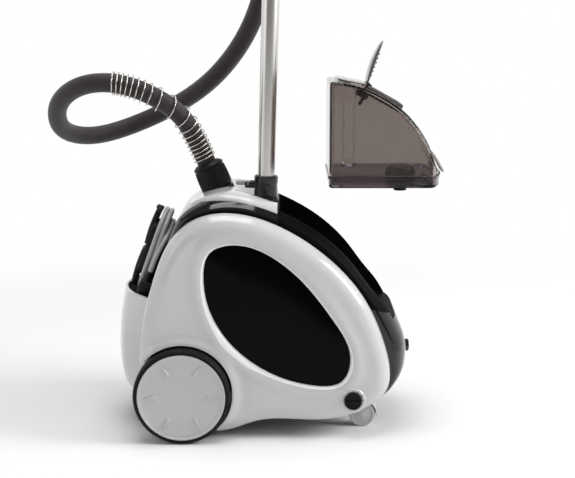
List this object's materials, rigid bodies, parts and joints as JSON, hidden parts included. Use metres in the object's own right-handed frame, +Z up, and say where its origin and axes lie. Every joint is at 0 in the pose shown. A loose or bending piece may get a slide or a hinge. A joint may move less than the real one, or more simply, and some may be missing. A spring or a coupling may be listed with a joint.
{
  "type": "garment steamer",
  "caption": "Upright garment steamer on wheels: egg-shaped white and black housing, lift-out smoked water tank, telescopic pole, steam hose with spring guard and a handset.",
  "frame": {"origin": "on the floor, in the middle of the footprint of the steamer with its tank lifted off, measured without the hose and the power cord", "axes": "+X to the front (the tank's side), +Y to the left, +Z up; the pole leans 1.6 degrees to the front"},
  "size_m": [0.5715, 0.3065, 1.0139],
  "materials": {
    "white_housing": "high gloss moulded, white",
    "white_wheel_caps": "satin gloss, white",
    "caster_wheels": "smooth moulded, light grey",
    "caster_hoods": "gloss, white",
    "black_gloss_shell": "piano gloss, black",
    "black_matte_cradle": "fine textured, black",
    "black_base": "fine textured, black",
    "tyres": "moulded soft tread, black",
    "axle_steel": "turned",
    "smoked_tank": "clear smoked plastic, polished",
    "grey_filler": "smooth moulded, grey",
    "valve_black": "moulded, black",
    "boiler_casting": "as cast",
    "element_steel": "drawn",
    "silicone_tubes": "translucent silicone",
    "electrics": "board and moulded parts",
    "black_controls": "satin, black",
    "dial_bezel": "gloss, white",
    "pole_aluminium": "bright anodised, drawn lengthways",
    "black_pole_fittings": "satin, black",
    "grey_levers": "satin, light grey",
    "hanger_arms": "moulded, black",
    "hose_cover": "braided cover, dark brown grey",
    "hose_cuffs": "moulded, black",
    "spring_steel": "drawn wire",
    "handset_white": "gloss, white",
    "handset_black": "fine textured, black",
    "nozzle_steel": "polished plate",
    "cleats_black": "moulded, black",
    "cord_sheath": "smooth sheath, dark grey"
  },
  "bodies": {
    "body": {"base_pan": "black_base", "boiler": "boiler_casting", "centre_shell": "black_gloss_shell", "cord_cleats": "cleats_black", "cord_coil": "cord_sheath", "cord_lead": "cord_sheath", "cord_plug": "cleats_black", "cord_relief": "cleats_black", "dial_bezel": "dial_bezel", "electrical_parts": "electrics", "handset_handle": "handset_black", "handset_rest": "black_pole_fittings", "heating_element": "element_steel", "hose_cuffs": "hose_cuffs", "hose_socket": "black_pole_fittings", "inlet_seat": "black_matte_cradle", "inner_tubes": "silicone_tubes", "left_side_shell": "white_housing", "lower_clamp": "black_pole_fittings", "lower_tube": "pole_aluminium", "nozzle_plate": "nozzle_steel", "pole_collar": "black_pole_fittings", "rear_axle": "axle_steel", "rear_panel": "white_housing", "right_side_shell": "white_housing", "side_panels": "black_gloss_shell", "spring_guard": "spring_steel", "steam_control": "electrics", "steam_head": "handset_white", "steam_hose": "hose_cover", "tank_cradle": "black_matte_cradle", "top_cover": "white_housing"},
    "right_wheel": {"right_wheel_tyre": "tyres", "right_wheel_rim": "black_base", "right_hub_cap": "white_wheel_caps"},
    "left_wheel": {"left_wheel_tyre": "tyres", "left_wheel_rim": "black_base", "left_hub_cap": "white_wheel_caps"},
    "right_caster": {"right_caster_fork": "caster_hoods"},
    "right_roller": {"right_caster_wheel": "caster_wheels"},
    "left_caster": {"left_caster_fork": "caster_hoods"},
    "left_roller": {"left_caster_wheel": "caster_wheels"},
    "tank": {"tank_shell": "smoked_tank", "tank_base": "smoked_tank", "filler_frame": "grey_filler", "valve_body": "valve_black", "inlet_filter": "valve_black"},
    "lid": {"tank_lid": "grey_filler"},
    "plunger": {"valve_plunger": "valve_black"},
    "dial": {"steam_dial": "black_controls"},
    "button": {"power_button": "black_controls"},
    "lock_lever": {"pole_lock_lever": "grey_levers"},
    "mid_pole": {"mid_tube": "pole_aluminium", "upper_clamp": "black_pole_fittings"},
    "top_pole": {"upper_tube": "pole_aluminium", "hanger_bracket": "black_pole_fittings"},
    "lower_lever": {"lower_clamp_lever": "grey_levers"},
    "upper_lever": {"upper_clamp_lever": "grey_levers"},
    "front_arm": {"front_hanger_arm": "hanger_arms"},
    "rear_arm": {"rear_hanger_arm": "hanger_arms"}
  },
  "joints": [
    {"name": "right_wheel_spin", "type": "hinge", "parent": "body", "child": "right_wheel", "pos_m": [-0.132, -0.126, 0.067], "axis": [0, 1, 0], "continuous": true},
    {"name": "left_wheel_spin", "type": "hinge", "parent": "body", "child": "left_wheel", "pos_m": [-0.132, 0.126, 0.067], "axis": [0, 1, 0], "continuous": true},
    {"name": "right_caster_swivel", "type": "hinge", "parent": "body", "child": "right_caster", "pos_m": [0.113, -0.056, 0.042], "axis": [0, 0, 1], "continuous": true},
    {"name": "right_roller_spin", "type": "hinge", "parent": "right_caster", "child": "right_roller", "pos_m": [0.121, -0.056, 0.0185], "axis": [0, 1, 0], "continuous": true},
    {"name": "left_caster_swivel", "type": "hinge", "parent": "body", "child": "left_caster", "pos_m": [0.113, 0.056, 0.042], "axis": [0, 0, 1], "continuous": true},
    {"name": "left_roller_spin", "type": "hinge", "parent": "left_caster", "child": "left_roller", "pos_m": [0.121, 0.056, 0.0185], "axis": [0, 1, 0], "continuous": true},
    {"name": "tank_lift", "type": "slide", "parent": "body", "child": "tank", "axis": [0.342, 0, 0.9397], "range_m": [-0.194, 0]},
    {"name": "lid_hinge", "type": "hinge", "parent": "tank", "child": "lid", "pos_m": [0.12735, 0, 0.4866], "axis": [0, 1, 0], "range_deg": [0, 99]},
    {"name": "valve_press", "type": "slide", "parent": "tank", "child": "plunger", "axis": [0, 0, 1], "range_m": [0, 0.003], "stiffness_N_per_m": 120, "springref_m": -0.002},
    {"name": "dial_turn", "type": "hinge", "parent": "body", "child": "dial", "pos_m": [0.105, -0.118, 0.057], "axis": [0, 1, 0], "range_deg": [0, 270]},
    {"name": "button_press", "type": "slide", "parent": "body", "child": "button", "axis": [-1, 0, 0], "range_m": [0, 0.003], "stiffness_N_per_m": 600, "springref_m": -0.002},
    {"name": "pole_lock_lift", "type": "hinge", "parent": "body", "child": "lock_lever", "pos_m": [-0.04307, 0, 0.34471], "axis": [0, 1, 0], "range_deg": [0, 50]},
    {"name": "mid_tube_slide", "type": "slide", "parent": "body", "child": "mid_pole", "axis": [0.0279, 0, 0.9996], "range_m": [0, 0.3]},
    {"name": "upper_tube_slide", "type": "slide", "parent": "mid_pole", "child": "top_pole", "axis": [0.0279, 0, 0.9996], "range_m": [0, 0.3]},
    {"name": "lower_clamp_turn", "type": "hinge", "parent": "body", "child": "lower_lever", "pos_m": [-0.00172, -0.025, 0.89377], "axis": [0.0279, 0, 0.9996], "range_deg": [0, 100]},
    {"name": "upper_clamp_turn", "type": "hinge", "parent": "mid_pole", "child": "upper_lever", "pos_m": [-0.00027, -0.025, 0.94575], "axis": [0.0279, 0, 0.9996], "range_deg": [0, 100]},
    {"name": "front_arm_fold", "type": "hinge", "parent": "top_pole", "child": "front_arm", "pos_m": [0.03731, 0, 1.00172], "axis": [0, -1, 0], "range_deg": [0, 85]},
    {"name": "rear_arm_fold", "type": "hinge", "parent": "top_pole", "child": "rear_arm", "pos_m": [-0.03466, 0, 1.00374], "axis": [0, 1, 0], "range_deg": [0, 85]}
  ]
}
